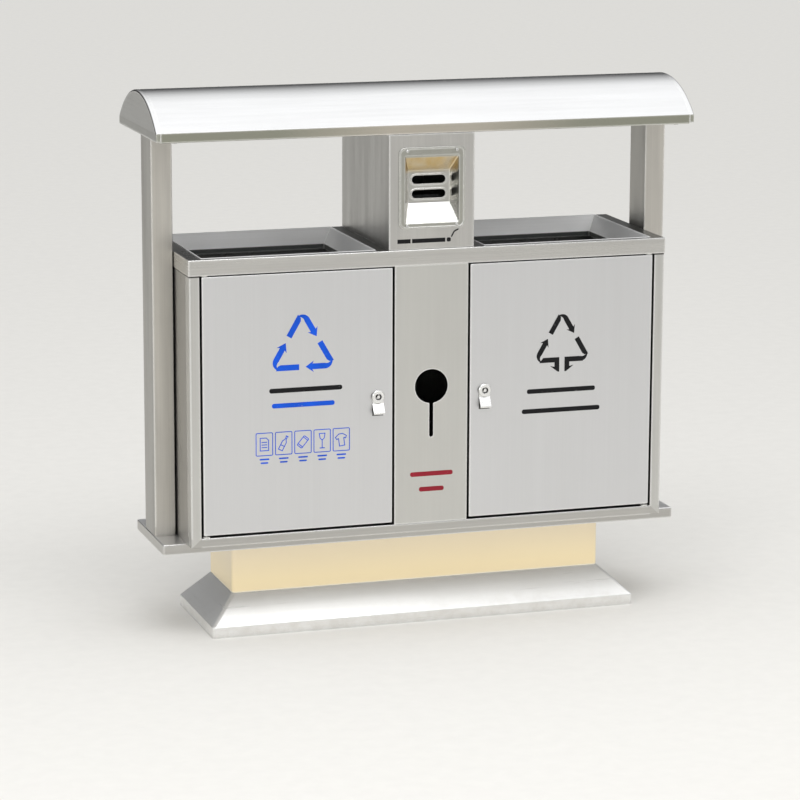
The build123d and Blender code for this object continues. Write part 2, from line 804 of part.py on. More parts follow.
def column_shell():
    """The hollow column, with a window behind the ash unit."""
    half = column_half_width
    face_rear = column_front + sheet
    shell = tube(-half, half, column_front, column_rear, deck_top, canopy_bottom, sheet, Axis.Z, tube_corner)
    window_half = dish_half_width + dish_gap
    shell -= block(-window_half, window_half, column_front - over, face_rear + over,
                   dish_bottom - dish_gap, dish_top + dish_gap)
    for x, z in ash_screw_points():
        shell -= pin_y(ash_screw_radius, x, z, column_front - over, face_rear + over)
    return shell


def column_lid():
    half = column_half_width - sheet
    return block(-half, half, column_front + sheet, column_rear - sheet, canopy_bottom - sheet, canopy_bottom)


def dish_solid(y_front, margin):
    """The tapering recess from the flange's face back to the slotted plate, grown by margin."""
    y_rear = column_front + dish_depth + margin
    faces = []
    for y, half, z0, z1 in ((y_front, dish_half_width, dish_bottom, dish_top),
                            (y_rear, plate_half_width, plate_bottom, plate_top)):
        outline = Rectangle(2 * (half + margin), z1 - z0 + 2 * margin)
        faces.append(Plane.XZ.offset(-y) * Pos(0, (z0 + z1) / 2) * outline)
    dish = loft(faces, ruled=True)
    groups = dish.edges().group_by(Axis.Y)
    return fillet([edge for group in groups[1:] for edge in group], dish_bend + margin)


def ash_panel():
    """A pressed panel: a flange with a raised bead, and a recess with two rimmed slots at its back."""
    t = door_sheet
    y0 = column_front - t
    middle_z = (ash_bottom + ash_top) / 2
    width = 2 * ash_half_width
    height = ash_top - ash_bottom
    inner_corner = ash_corner - ash_bead_width
    flange = RectangleRounded(width, height, ash_corner)
    inside = RectangleRounded(width - 2 * ash_bead_width, height - 2 * ash_bead_width, inner_corner)
    bead = front_outline(flange - inside, 0, middle_z, y0 - ash_bead_rise, ash_bead_rise)
    bead = fillet(bead.edges().group_by(Axis.Y)[0], ash_bead_rise * soft)
    panel = front_outline(flange, 0, middle_z, y0, t) + bead
    panel += dish_solid(y0 + t, t)
    panel -= dish_solid(y0, 0)
    plate_face = column_front + dish_depth
    for z in ash_slot_heights:
        rim = SlotOverall(ash_slot_length + 2 * ash_slot_rim, ash_slot_height + 2 * ash_slot_rim)
        rim_solid = front_outline(rim, 0, z, plate_face - ash_bead_rise, ash_bead_rise + t)
        panel += fillet(rim_solid.edges().group_by(Axis.Y)[0], ash_bead_rise * soft)
        slot = SlotOverall(ash_slot_length, ash_slot_height)
        panel -= front_outline(slot, 0, z, plate_face - 2 * t, 4 * t)
    for x, z in ash_screw_points():
        panel -= pin_y(ash_screw_radius, x, z, y0 - ash_bead_rise - over, column_front + over)
    return panel


def ash_screws():
    """Cross-slotted pan-head screws at the ash panel's corners."""
    seat = column_front - door_sheet
    face = seat - ash_screw_head
    cut_rear = face + ash_screw_head / 2
    long_half = ash_screw_head_radius * 0.6
    short_half = ash_screw_slot / 2
    screws = []
    for x, z in ash_screw_points():
        head = pin_y(ash_screw_head_radius, x, z, face, seat)
        head = fillet(head.edges().group_by(Axis.Y)[0], ash_screw_head * soft)
        shank = pin_y(ash_screw_radius, x, z, seat, seat + ash_screw_length)
        cross = block(x - long_half, x + long_half, face - over, cut_rear, z - short_half, z + short_half)
        cross += block(x - short_half, x + short_half, face - over, cut_rear, z - long_half, z + long_half)
        screws.append(head + shank - cross)
    return screws


def ash_cup():
    rect = (-cup_half_width, cup_half_width, cup_front, cup_rear)
    return open_box(rect, cup_bottom, cup_top, liner_sheet)


def ash_cup_shelf():
    """The shelf across the column that the cup stands on, with a stop along its rear edge."""
    half = column_half_width - sheet
    shelf = block(-half, half, shelf_front, shelf_rear, cup_bottom - sheet, cup_bottom)
    for side in (-1, 1):
        upright = block(-half, -half + sheet, shelf_front, shelf_rear, cup_bottom, cup_bottom + shelf_side)
        shelf += on_side(side, upright)
    return shelf + block(-half, half, shelf_rear, shelf_rear + sheet, cup_bottom - sheet,
                         cup_bottom + shelf_stop)


# ---- printed signs --------------------------------------------------------------------------------
def polygon(*points):
    return make_face(Polyline(*points, close=True))


def outline(shape):
    """The line drawn round a flat shape, on its inner side."""
    return shape - offset(shape, -sign_line)


def hook_and_arrow(width, tip_x):
    """The clockwise arrow on the triangle's lower side: a hook round the right corner, then a head."""
    low = symbol_base
    top = low + width
    radius = 1.4 * width
    thin = radius - 0.62 * width
    middle_x = sign_side / 2 - radius * math.sqrt(3)
    middle_z = low + radius
    across = math.cos(math.radians(30))
    up = math.sin(math.radians(30))
    end = (middle_x + radius * across, middle_z + radius * up)
    outer_point = (middle_x + radius * across, middle_z - radius * up)
    inner_point = (middle_x + thin * across, middle_z - thin * up)
    outer_arc = ThreePointArc((middle_x, low), outer_point, end)
    inner_arc = ThreePointArc(end, inner_point, (middle_x, top))
    barb = 0.5 * width
    neck = tip_x + 1.2 * width
    run = Polyline((middle_x, top), (neck, top), (neck + barb / 2, top + barb), (tip_x, low + width / 2),
                   (neck + barb / 2, low - barb), (neck, low), (middle_x, low))
    return make_face([outer_arc, inner_arc, *run.edges()])


def corner_bar(width, start_x):
    """The plain bar between the arrow's tip and the left corner."""
    low = symbol_base
    end = -sign_side / 2 + 1.6 * width
    return polygon((start_x, low), (start_x, low + width), (end + 0.8 * width, low + width),
                   (end + 0.3 * width, low + 0.75 * width), (end, low))


def triangle_side(turn):
    """One side of the triangle of arrows, turned about its middle."""
    side = hook_and_arrow(sign_band, 0.04 * sign_side) + corner_bar(sign_band, -0.05 * sign_side)
    return Rot(0, 0, turn) * side


def half_arrow_down(width, drop, inner_x, outer_x):
    """A bar that runs in from the left and turns down into a half arrowhead."""
    low = symbol_base
    top = low + width
    neck = low - drop
    return polygon((inner_x, top), (inner_x, neck - width), (inner_x - 0.3 * width, neck - width),
                   (inner_x - 1.9 * width, neck + 0.2 * width), (inner_x - width, neck),
                   (inner_x - width, low), (outer_x, low), (outer_x + 0.8 * width, top))


def recycling_symbol():
    return triangle_side(0) + triangle_side(120) + triangle_side(240)


def residual_symbol():
    """Three sides like the recycling symbol, but the lower one turns out of the loop and down."""
    width = sign_band
    gap = 0.55 * width
    drop = 0.9 * width
    corner = -sign_side / 2
    left = half_arrow_down(width, drop, -gap, corner + 1.6 * width)
    right = mirror(half_arrow_down(width, drop, -gap, corner + 1.9 * width), Plane.YZ)
    clip = Pos(-corner, symbol_base) * Rectangle(5.2 * width, 4 * width)
    hook = hook_and_arrow(width, 0) & clip
    return triangle_side(120) + triangle_side(240) + left + right + hook


def paper_glyph():
    glyph = outline(polygon((-9, -13), (9, -13), (9, 8), (4, 13), (-9, 13)))
    for z in (-6, -1, 4):
        glyph += Pos(0, z) * Rectangle(11, sign_line)
    return glyph


def bottle_glyph():
    body = polygon((-5, -15), (5, -15), (5, 3), (2, 8), (2, 12), (-2, 12), (-2, 8), (-5, 3))
    glyph = outline(body) + Pos(0, 14.2) * Rectangle(5.5, 2.6) + Pos(0, -5) * Rectangle(8.5, sign_line)
    return Rot(0, 0, -28) * glyph


def can_glyph():
    glyph = outline(RectangleRounded(13, 24, 3))
    for z in (-8, 8):
        glyph += Pos(0, z) * Rectangle(11.5, sign_line)
    return Rot(0, 0, -40) * glyph


def glass_glyph():
    bowl = polygon((-6.5, 15), (6.5, 15), (5, 5), (1.2, 1), (-1.2, 1), (-5, 5))
    return outline(bowl) + Pos(0, -6) * Rectangle(1.6, 15) + Pos(0, -14) * Rectangle(10, 1.8)


def shirt_glyph():
    shirt = polygon((-4, 12), (4, 12), (12, 6), (9, 0), (6, 2), (6, -13),
                    (-6, -13), (-6, 2), (-9, 0), (-12, 6))
    return Rot(0, 0, 8) * outline(shirt)


def pictogram_row():
    """Five framed pictograms for paper, bottles, cans, glass and cloth, with two short rules under each."""
    frame = outline(RectangleRounded(pictogram_width, pictogram_height, 3))
    glyphs = (paper_glyph(), bottle_glyph(), can_glyph(), glass_glyph(), shirt_glyph())
    cells = []
    for index, glyph in enumerate(glyphs):
        cell = frame + glyph
        for width, z in ((19, -29), (15, -36)):
            cell += Pos(0, z) * rule(width, 3)
        cells.append(Pos((index - 2) * pictogram_pitch, 0) * cell)
    return Sketch() + cells


def rule(width, height):
    """A plain rounded bar, in the place of a caption."""
    return RectangleRounded(width, height, height * 0.45)


def captions(rows):
    return [(rule(width, caption_height), x, z) for width, x, z in rows]


def cigarette_glyph():
    """A cigarette with its filter, ember and a curl of smoke, drawn about the paper's middle."""
    thick = cigarette_thickness
    half = cigarette_length / 2 - filter_length / 2
    paper = Rectangle(2 * half, thick)
    tip = Pos(-half - cigarette_gap - filter_length / 2, 0) * Rectangle(filter_length, thick)
    ember = Pos(half + cigarette_gap + thick / 2, 0) * RectangleRounded(thick, thick, thick / 3)
    curl = half + cigarette_gap + thick
    smoke = Pos(curl + thick / 2, 1.3 * thick) * Rot(0, 0, 62) * rule(1.6 * thick, thick / 3)
    smoke += Pos(curl + 1.4 * thick, 2.2 * thick) * Rot(0, 0, 25) * rule(1.2 * thick, thick / 3)
    return paper + tip + ember + smoke


def printed(face, *placed):
    """Printed film on an upright face: flat shapes, each given as (shape, x, z)."""
    solids = []
    for shape, x, z in placed:
        solids += front_outline(shape, x, z, face - film, film).solids()
    return solids


def build_signs():
    symbol = scale(recycling_symbol(), by=left_growth)
    left_parts = [(symbol, *left_symbol), (pictogram_row(), *left_pictograms)]
    write("left_door_sign", *printed(door_face, *left_parts, *captions(left_captions)))
    write("right_door_sign", *printed(door_face, (residual_symbol(), *right_symbol),
                                      *captions(right_captions)))
    write("hazard_sign", *printed(door_face, *captions(hazard_captions)))
    write("stub_out_sign", *printed(column_front, (cigarette_glyph(), *cigarette)))


# ---- build ----------------------------------------------------------------------------------------
def build_station():
    write("base_plate", base_plate())
    write("foot_skirt", foot_skirt())
    write("pedestal_box", pedestal_box())
    write("plinth_plate", plinth_plate())
    write("plinth_bolts", *plinth_bolts())
    write("bottom_rail", bottom_rail())
    write("back_panel", back_panel())
    write("floor_pan", floor_pan())
    write("top_deck", top_deck())
    write("centre_panel", centre_panel())
    write("left_partition", partition(False))
    write("right_partition", on_side(1, partition(True)))
    write("hazard_box", hazard_box())
    write("column_shell", column_shell())
    write("column_lid", column_lid())
    write("ash_panel", ash_panel())
    write("ash_screws", *ash_screws())
    write("ash_cup", ash_cup())
    write("ash_cup_shelf", ash_cup_shelf())
    write("canopy_shell", canopy_shell())
    write("centre_canopy_bearer", centre_bearer())
    write("canopy_rivets", *canopy_rivets())


def build_pairs():
    """Small pieces of the fixed cabinet that repeat left and right, one node for each kind."""
    pairs = {
        "pivot_bushes": pivot_bushes(),
        "top_pivot_brackets": [top_pivot_bracket()],
        "door_buffers": door_buffers(),
    }
    for name, shapes in pairs.items():
        write(name, *[on_side(side, shape) for side in (-1, 1) for shape in shapes])


def build_side(name, side):
    pieces = {
        "post": post(),
        "canopy_bearer": canopy_bearer(),
        "canopy_cap": canopy_cap(),
        "stile": front_stile(),
        "side_panel": side_panel(),
        "inlet_tray": inlet_tray(),
        "liner": liner(),
        "door": door(),
        "door_stiffener": door_stiffener(),
        "lock_body": lock_body(),
        "lock_nut": lock_nut(),
        "finger_pull": finger_pull(),
        "lock_plug": lock_plug(),
        "lock_cam": lock_cam(),
    }
    for piece, shape in pieces.items():
        write(name + "_" + piece, on_side(side, shape))
    write(name + "_pivot_pins", *[on_side(side, pin) for pin in pivot_pins()])


os.makedirs("parts", exist_ok=True)
build_station()
build_pairs()
build_signs()
for side_name, side_sign in sides:
    build_side(side_name, side_sign)
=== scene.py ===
import math

import bpy
from mathutils import Matrix, Vector


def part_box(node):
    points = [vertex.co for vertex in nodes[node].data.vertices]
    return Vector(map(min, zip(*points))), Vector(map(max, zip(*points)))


# Looks of the recycling bin station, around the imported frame. Metres, +Z up, the doors face -Y.
# Every CAD node is already sheet metal of the right shape, so this script gives each one its surface.

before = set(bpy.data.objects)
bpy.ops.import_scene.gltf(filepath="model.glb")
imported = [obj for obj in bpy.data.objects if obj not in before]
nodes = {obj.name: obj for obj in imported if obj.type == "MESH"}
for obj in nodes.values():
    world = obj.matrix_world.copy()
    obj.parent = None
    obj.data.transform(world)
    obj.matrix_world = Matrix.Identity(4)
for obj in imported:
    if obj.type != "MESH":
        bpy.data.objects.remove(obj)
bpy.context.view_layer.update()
scene = bpy.context.scene

# ---- camera ---------------------------------------------------------------------------------------
camera_place = Vector((-1.939, -6.002, 1.747))
camera_yaw = math.radians(17.78)        # from +Y towards +X
camera_pitch = math.radians(11.94)      # downwards
camera_roll = math.radians(0.19)
camera_lens = 148.5
camera_sensor = 36.0
camera_reach = 100.0

# ---- studio ---------------------------------------------------------------------------------------
floor_color = (0.80, 0.785, 0.75)
floor_half = 40.0
sky_color = (0.985, 0.992, 1.0)
ceiling_light = 1.10
horizon_light = 0.30
rear_light = 0.04           # the horizon behind the station
horizon_top = 0.12          # Z of the directions up to which the horizon's light reaches
front_ceiling = 0.62        # Z of those from which the ceiling's light is full, in front and behind
rear_ceiling = 0.86
rear_turn = 0.7             # Y of the directions from which the light behind the station is complete

# ---- how many to the metre ------------------------------------------------------------------------
fine_grain = 1500.0         # grain lines, across the grain
broad_grain = 170.0
band_grain = 38.0           # broad polishing bands, across the grain
along_grain = 3.0           # all of these, along it
cloud_grain = 6.0           # clouds and small marks on the sheet
mark_grain = 46.0
scratch_grain = 900.0       # hairline scratches and smears on the small fittings
smear_grain = 60.0
plume_grain = 34.0          # smoke in the ash recess
crystal_grain = 110.0       # crystals and water stains on the galvanised sheet
stain_grain = 9.0
mottle_grain = 260.0        # mottles of the zinc plating
moulded_tone = 60.0         # uneven tone of rubber and nylon
rub_grain = 130.0           # rubbed spots in the print, and its uneven tone
ink_grain = 22.0
floor_grain = 30.0

# ---- edges, gaps and relief -----------------------------------------------------------------------
edge_radius = 0.0006        # how round a cut edge looks
small_edge = 0.0004         # the same on the small fittings, on rubber and on nylon
zinc_edge = 0.0003
edge_highlight_radius = 0.0042        # how far the painted highlight, on smoother rubbed metal, reaches from a sheet's edge
dish_highlight_radius = 0.0030
fitting_highlight_radius = 0.0008
crevice_shade_reach = 0.022         # how deep into gaps and corners the painted shade reaches
dish_shade_reach = 0.008
fitting_shade_reach = 0.006
sheet_relief = 0.0004       # depth of the grain
fitting_relief = 0.0002
crystal_relief = 0.0006
moulded_relief = 0.0003
ink_relief = 0.0001
half_border = 0.0004        # half the height over which a sheet changes to another tone

# ---- places on the station ------------------------------------------------------------------------
fascia_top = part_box("canopy_shell")[0][2] + 0.0182
foot_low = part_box("foot_skirt")[0][2]
dust_top = foot_low + 0.05
pedestal_low, pedestal_high = (corner[2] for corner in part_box("pedestal_box"))
pedestal_fade = 0.02        # how far from the pedestal's top and bottom the change of its painted reflection stops
recess_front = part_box("ash_panel")[0][1] + 0.0034
recess_depth = 0.002        # how far inside its front the recess has all its polish
smoke_low = 0.877           # from where smoke darkens the recess's ceiling, and where it is darkest
smoke_high = 0.887
throat_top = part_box("left_inlet_tray")[0][2] + 0.010
tray_slope = 0.028          # height of a tray's sloping sides
band_shadow_low = 0.7026           # the painted shadow line under the deck's band begins, and is darkest
band_shadow_high = 0.7032
frame_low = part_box("bottom_rail")[0][2]
frame_opening = 0.204       # the front frame's opening: its lower edge and its half width
frame_half_opening = 0.4535
pull_x = 0.107              # the finger pulls: distance from the middle, half width, height of the tab
pull_half_width = 0.011
pull_tab = (0.420, 0.4425)
caption = (0.472, 0.490)    # height of the upper caption on the left door, printed in black
warm_reflection_span = (0.08, 0.30)  # how far from the middle the painted reflection on the canopy's fascia is warm, and no longer warm

# ---- colours --------------------------------------------------------------------------------------
steel_color = (0.62, 0.61, 0.585)
frame_color = (0.52, 0.51, 0.485)
stile_color = (0.635, 0.63, 0.605)
# painted reflections on the canopy's lower band, dark and warmer near the middle
fascia_reflection = (0.36, 0.365, 0.30)
fascia_middle_reflection = (0.60, 0.555, 0.48)
door_color = (0.735, 0.735, 0.74)
panel_color = (0.655, 0.65, 0.62)
post_color = (0.64, 0.615, 0.565)
side_color = (0.44, 0.435, 0.42)
# painted shade and dark reflection on whole faces that look sideways, and on those that look up where no
# other tone is given
painted_dark_tone = (0.20, 0.20, 0.19)
# painted shade on a tray below the top of its throat into the bin
throat_shade_color = (0.14, 0.15, 0.145)
polished_color = (0.90, 0.90, 0.90)
foot_color = (0.97, 0.97, 0.96)
tray_color = (0.96, 0.96, 0.96)
# the pedestal's colour is a painted reflection of the pale warm ground, greyer at the top as painted shade
pedestal_reflection = (0.82, 0.715, 0.545)
pedestal_low_reflection = (1.0, 0.845, 0.555)
fitting_color = (0.86, 0.86, 0.85)
flange_color = (0.44, 0.44, 0.40)
dish_color = (0.74, 0.73, 0.69)
smoke_color = (0.58, 0.415, 0.17)
# a painted highlight along sharp edges
painted_edge_highlight = (1.0, 1.0, 0.99)
band_shade = (0.35, 0.34, 0.33)
cloud_shade = (0.40, 0.38, 0.35)
# painted shade: in gaps and corners, in the line under the deck's band and behind the finger pulls
painted_shade_color = (0.045, 0.043, 0.04)
dust_color = (0.50, 0.46, 0.39)
dark_crystal = (0.36, 0.37, 0.38)
pale_crystal = (0.46, 0.47, 0.48)
water_stain = (0.28, 0.26, 0.23)
dark_zinc = (0.60, 0.60, 0.58)
pale_zinc = (0.76, 0.76, 0.74)
rubber_color = (0.025, 0.025, 0.026)
nylon_color = (0.80, 0.79, 0.75)
blue_ink = (0.010, 0.095, 0.66)
black_ink = (0.010, 0.010, 0.011)
red_ink = (0.30, 0.02, 0.035)


# ---- node helpers ---------------------------------------------------------------------------------
def new_material(name):
    material = bpy.data.materials.new(name)
    material.use_nodes = True
    tree = material.node_tree
    return material, tree, tree.nodes["Principled BSDF"]


def node(tree, kind, **values):
    """A new node. A key names a property, or with in_ before it an input."""
    made = tree.nodes.new(kind)
    for key, value in values.items():
        if key.startswith("in_"):
            made.inputs[key[3:].replace("_", " ")].default_value = value
        else:
            setattr(made, key, value)
    return made


def coordinates(tree, kind="Object"):
    """The X, Y and Z outputs of the piece's own coordinates, or of another kind of them."""
    source = node(tree, "ShaderNodeTexCoord")
    split = node(tree, "ShaderNodeSeparateXYZ")
    tree.links.new(source.outputs[kind], split.inputs[0])
    return split.outputs


def stretched(tree, stretch):
    source = node(tree, "ShaderNodeTexCoord")
    mapping = node(tree, "ShaderNodeMapping", in_Scale=stretch)
    tree.links.new(source.outputs["Object"], mapping.inputs["Vector"])
    return mapping.outputs["Vector"]


def noise(tree, scale, detail=3.0, roughness=0.55, stretch=(1, 1, 1)):
    texture = node(tree, "ShaderNodeTexNoise", in_Scale=scale, in_Detail=detail, in_Roughness=roughness)
    tree.links.new(stretched(tree, stretch), texture.inputs["Vector"])
    return texture.outputs["Fac"]


def remap(tree, value, low, high, to_low, to_high):
    """value, from low..high, moved to to_low..to_high and clamped."""
    ranged = node(tree, "ShaderNodeMapRange", in_From_Min=low, in_From_Max=high, in_To_Min=to_low,
                  in_To_Max=to_high)
    tree.links.new(value, ranged.inputs["Value"])
    return ranged.outputs["Result"]


def calculate(tree, operation, first, second):
    made = node(tree, "ShaderNodeMath", operation=operation)
    for index, value in enumerate((first, second)):
        if isinstance(value, (int, float)):
            made.inputs[index].default_value = value
        else:
            tree.links.new(value, made.inputs[index])
    return made.outputs[0]


def total(tree, first, *others):
    for value in others:
        first = calculate(tree, "ADD", first, value)
    return first


def product(tree, first, *others):
    for value in others:
        first = calculate(tree, "MULTIPLY", first, value)
    return first


def between(tree, value, low, high):
    """1 where value lies between low and high, and 0 elsewhere."""
    return product(tree, calculate(tree, "GREATER_THAN", value, low),
                   calculate(tree, "LESS_THAN", value, high))


def size_of(tree, value):
    """value without its sign."""
    return calculate(tree, "ABSOLUTE", value, 0.0)


def mixed(tree, factor, first, second):
    """Between two colours, each a tuple or an output."""
    mix = node(tree, "ShaderNodeMix", data_type="RGBA")
    tree.links.new(factor, mix.inputs["Factor"])
    sockets = [socket for socket in mix.inputs if socket.type == "RGBA"]
    for socket, value in zip(sockets, (first, second)):
        if isinstance(value, tuple):
            socket.default_value = (*value, 1.0)
        else:
            tree.links.new(value, socket)
    return [socket for socket in mix.outputs if socket.type == "RGBA"][0]


def scaled(color, factor):
    return tuple(min(1.0, channel * factor) for channel in color)


def varied(tree, factor, color, amount):
    """color, from amount darker to amount brighter."""
    return mixed(tree, factor, scaled(color, 1 - amount), scaled(color, 1 + amount))


# ---- masks ----------------------------------------------------------------------------------------
def by_height(tree, start, stop, at_start=0.0, at_stop=1.0):
    """at_start at the height start above the ground, and at_stop at the height stop."""
    return remap(tree, coordinates(tree)["Z"], start, stop, at_start, at_stop)


def facing(tree, axis, most):
    """most on the faces that look up, for Z, or either way along X or Y, and 0 on the others.

    The axes are the piece's own, so that a door keeps its tone as it swings."""
    along = coordinates(tree, "Normal")[axis]
    if axis != "Z":
        along = size_of(tree, along)
    return remap(tree, along, 0.6, 0.95, 0.0, most)


def near_middle(tree):
    """1 near the station's middle plane, down to 0 on either side of it."""
    full, none = warm_reflection_span
    return remap(tree, size_of(tree, coordinates(tree)["X"]), full, none, 1.0, 0.0)


def rounded_normal(tree, radius):
    return node(tree, "ShaderNodeBevel", samples=4, in_Radius=radius).outputs["Normal"]


def edge_mask(tree, radius):
    """1 on a sharp edge and 0 on the flats, from how far a rounded normal leaves the real one."""
    geometry = node(tree, "ShaderNodeNewGeometry")
    dot = node(tree, "ShaderNodeVectorMath", operation="DOT_PRODUCT")
    tree.links.new(rounded_normal(tree, radius), dot.inputs[0])
    tree.links.new(geometry.outputs["Normal"], dot.inputs[1])
    return remap(tree, dot.outputs["Value"], 0.99, 0.86, 0.0, 1.0)


def off_the_mitres(tree, edges):
    """edges, but 0 at the tight mitred joints in the front frame's lower corners."""
    place = coordinates(tree)
    joint = product(tree, between(tree, place["Z"], frame_low, frame_opening),
                    calculate(tree, "GREATER_THAN", size_of(tree, place["X"]), frame_half_opening))
    return product(tree, edges, calculate(tree, "SUBTRACT", 1.0, joint))


def behind_the_pulls(tree):
    """1 on the door behind a finger pull's tab, where shade is painted, and 0 elsewhere."""
    place = coordinates(tree)
    aside = size_of(tree, calculate(tree, "SUBTRACT", size_of(tree, place["X"]), pull_x))
    return product(tree, between(tree, place["Z"], *pull_tab),
                   calculate(tree, "LESS_THAN", aside, pull_half_width))


def crevice_shade_mask(tree, reach):
    """1 deep in gaps and corners, where shade is painted, and 0 in the open."""
    occlusion = node(tree, "ShaderNodeAmbientOcclusion", samples=6, in_Distance=reach)
    return remap(tree, occlusion.outputs["AO"], 0.55, 0.12, 0.0, 1.0)


def bumps(tree, height, strength, distance):
    made = node(tree, "ShaderNodeBump", in_Strength=strength, in_Distance=distance)
    tree.links.new(height, made.inputs["Height"])
    return made


def finish_normal(tree, shader, height, strength, distance, radius=edge_radius):
    """Fine relief from height, over slightly rounded edges."""
    made = bumps(tree, height, strength, distance)
    tree.links.new(rounded_normal(tree, radius), made.inputs["Normal"])
    tree.links.new(made.outputs["Normal"], shader.inputs["Normal"])


# ---- stainless sheet ------------------------------------------------------------------------------
def grain_noise(tree, grain, lines, detail):
    """Noise squeezed along the grain, so that it becomes long lines, so many to the metre."""
    squeeze = along_grain / lines
    stretch = {"upright": (1, 1, squeeze), "level": (squeeze, squeeze, 1), "along_x": (squeeze, 1, 1)}[grain]
    return noise(tree, lines, detail, stretch=stretch)


def grain_lines(tree, grain):
    return total(tree, product(tree, grain_noise(tree, grain, fine_grain, 2.0), 0.55),
                 product(tree, grain_noise(tree, grain, broad_grain, 3.0), 0.45))


def border(height):
    """Where a narrow change of tone at a height begins and ends, downwards."""
    return height + half_border, height - half_border


def sheet_tones(tree, lines, color, streak, ends=0.0, tops=0.0, top_tone=painted_dark_tone, lower=None, middle=None):
    """The sheet's own colour and grain, with the painted shade and painted reflections that whole faces take
    from their surroundings.

    ends and tops say how far the faces that look sideways go to a dark tone, painted shade and dark
    reflection, and those that look up to top_tone, which is painted shade where it is dark and a painted
    reflection where it is bright. lower is (colour, height from, height to): the painted tone that the sheet
    takes towards its lower edge, shade in a tray's throat and reflections on the canopy and the pedestal,
    and middle is that tone near the station's middle."""
    tint = remap(tree, lines, 0.35, 0.65, 0, 1)
    base = varied(tree, tint, color, streak / 2)
    if lower:
        tone, start, stop = lower
        toned = varied(tree, tint, tone, streak / 2)
        if middle:
            toned = mixed(tree, near_middle(tree), toned, middle)
        base = mixed(tree, by_height(tree, start, stop), base, toned)
    # faces that look sideways painted dark, as shade and dark reflection; faces that look up painted in
    # top_tone
    if ends:
        base = mixed(tree, facing(tree, "X", ends), base, painted_dark_tone)
    if tops:
        base = mixed(tree, facing(tree, "Z", tops), base, top_tone)
    return base


def shade_and_dust(tree, color, marks, band_shadow, dust, pulls):
    """color with a painted shadow line where the sheet passes in under the deck's band, dust low on the
    foot, and painted shade on the door behind its pull, each as strong as its value says."""
    if band_shadow:
        color = mixed(tree, by_height(tree, band_shadow_low, band_shadow_high, 0.0, band_shadow), color, painted_shade_color)
    if dust:
        speckle = product(tree, by_height(tree, foot_low, dust_top, dust, 0.0),
                          remap(tree, marks, 0.38, 0.62, 0, 1))
        color = mixed(tree, speckle, color, dust_color)
    if pulls:
        color = mixed(tree, product(tree, behind_the_pulls(tree), pulls), color, painted_shade_color)
    return color


def sheet_metal(tree, shader, metal):
    """metal is the shader's value, or (low, high, height from, height to) for sheet duller higher up."""
    if isinstance(metal, tuple):
        low, high, start, stop = metal
        tree.links.new(by_height(tree, start, stop, low, high), shader.inputs["Metallic"])
    else:
        shader.inputs["Metallic"].default_value = metal


def stainless(name, color, grain, rough, relief=0.12, streak=0.10, bands=0.06, cloud=0.04, metal=1.0,
              band_shadow=0.0, dust=0.0, pulls=0.0, **tones):
    """Stainless sheet: fine grain, broad polishing bands, faint marks, painted shade in gaps and painted
    highlights on the edges.

    relief and streak are the grain's depth and its change of tone, bands and cloud how far the polishing
    bands and the clouds dull the sheet. metal is sheet_metal's; seam, dust and pulls are the strengths of
    the painted shadow line under the deck's band, of the dust and of the painted shade behind the pulls, as
    soiled takes them, and the tones are sheet_tones's."""
    material, tree, shader = new_material(name)
    lines = grain_lines(tree, grain)
    polish = grain_noise(tree, grain, band_grain, 2.0)
    clouds = noise(tree, cloud_grain, 4.0, 0.6)
    marks = noise(tree, mark_grain, 5.0, 0.7)
    edges = off_the_mitres(tree, edge_mask(tree, edge_highlight_radius))
    crevice_shade = crevice_shade_mask(tree, crevice_shade_reach)

    base = sheet_tones(tree, lines, color, streak, **tones)
    darker = mixed(tree, remap(tree, polish, 0.35, 0.7, 0, bands * 2), base, band_shade)
    shade = mixed(tree, remap(tree, clouds, 0.4, 0.7, 0, cloud * 2), darker, cloud_shade)
    # painted highlights on the edges, then a painted shadow line under the band, dust, and painted shade
    # behind the pulls
    painted_light_and_dust = shade_and_dust(tree, mixed(tree, edges, shade, painted_edge_highlight), marks, band_shadow, dust, pulls)
    # painted shade deep in gaps and corners
    tree.links.new(mixed(tree, crevice_shade, painted_light_and_dust, painted_shade_color), shader.inputs["Base Color"])

    uneven = total(tree, remap(tree, lines, 0.3, 0.7, rough - 0.04, rough + 0.05),
                   remap(tree, marks, 0.52, 0.75, 0.0, cloud), remap(tree, polish, 0.4, 0.7, 0.0, bands))
    rubbed = calculate(tree, "SUBTRACT", uneven, product(tree, edges, rough * 0.3))
    tree.links.new(total(tree, rubbed, product(tree, crevice_shade, 0.3)), shader.inputs["Roughness"])
    sheet_metal(tree, shader, metal)
    finish_normal(tree, shader, lines, relief, sheet_relief)
    return material


# ---- other metals ---------------------------------------------------------------------------------
def galvanised(name):
    """Hot-dip galvanised sheet: dull grey crystals of different brightness, with water stains and painted
    shade in gaps and corners.
    """
    material, tree, shader = new_material(name)
    cells = node(tree, "ShaderNodeTexVoronoi", in_Scale=crystal_grain)
    tree.links.new(stretched(tree, (1, 1, 1)), cells.inputs["Vector"])
    tone = node(tree, "ShaderNodeSeparateColor")
    tree.links.new(cells.outputs["Color"], tone.inputs["Color"])
    stain = noise(tree, stain_grain, 5.0, 0.65, stretch=(1, 1, 0.35))
    base = mixed(tree, tone.outputs["Red"], dark_crystal, pale_crystal)
    stained = mixed(tree, remap(tree, stain, 0.5, 0.78, 0, 0.6), base, water_stain)
    crevice_shade = crevice_shade_mask(tree, crevice_shade_reach)
    tree.links.new(mixed(tree, crevice_shade, stained, painted_shade_color), shader.inputs["Base Color"])
    tree.links.new(total(tree, remap(tree, tone.outputs["Green"], 0, 1, 0.38, 0.52),
                         remap(tree, stain, 0.5, 0.8, 0, 0.2)), shader.inputs["Roughness"])
    shader.inputs["Metallic"].default_value = 0.9
    finish_normal(tree, shader, cells.outputs["Distance"], 0.1, crystal_relief)
    return material


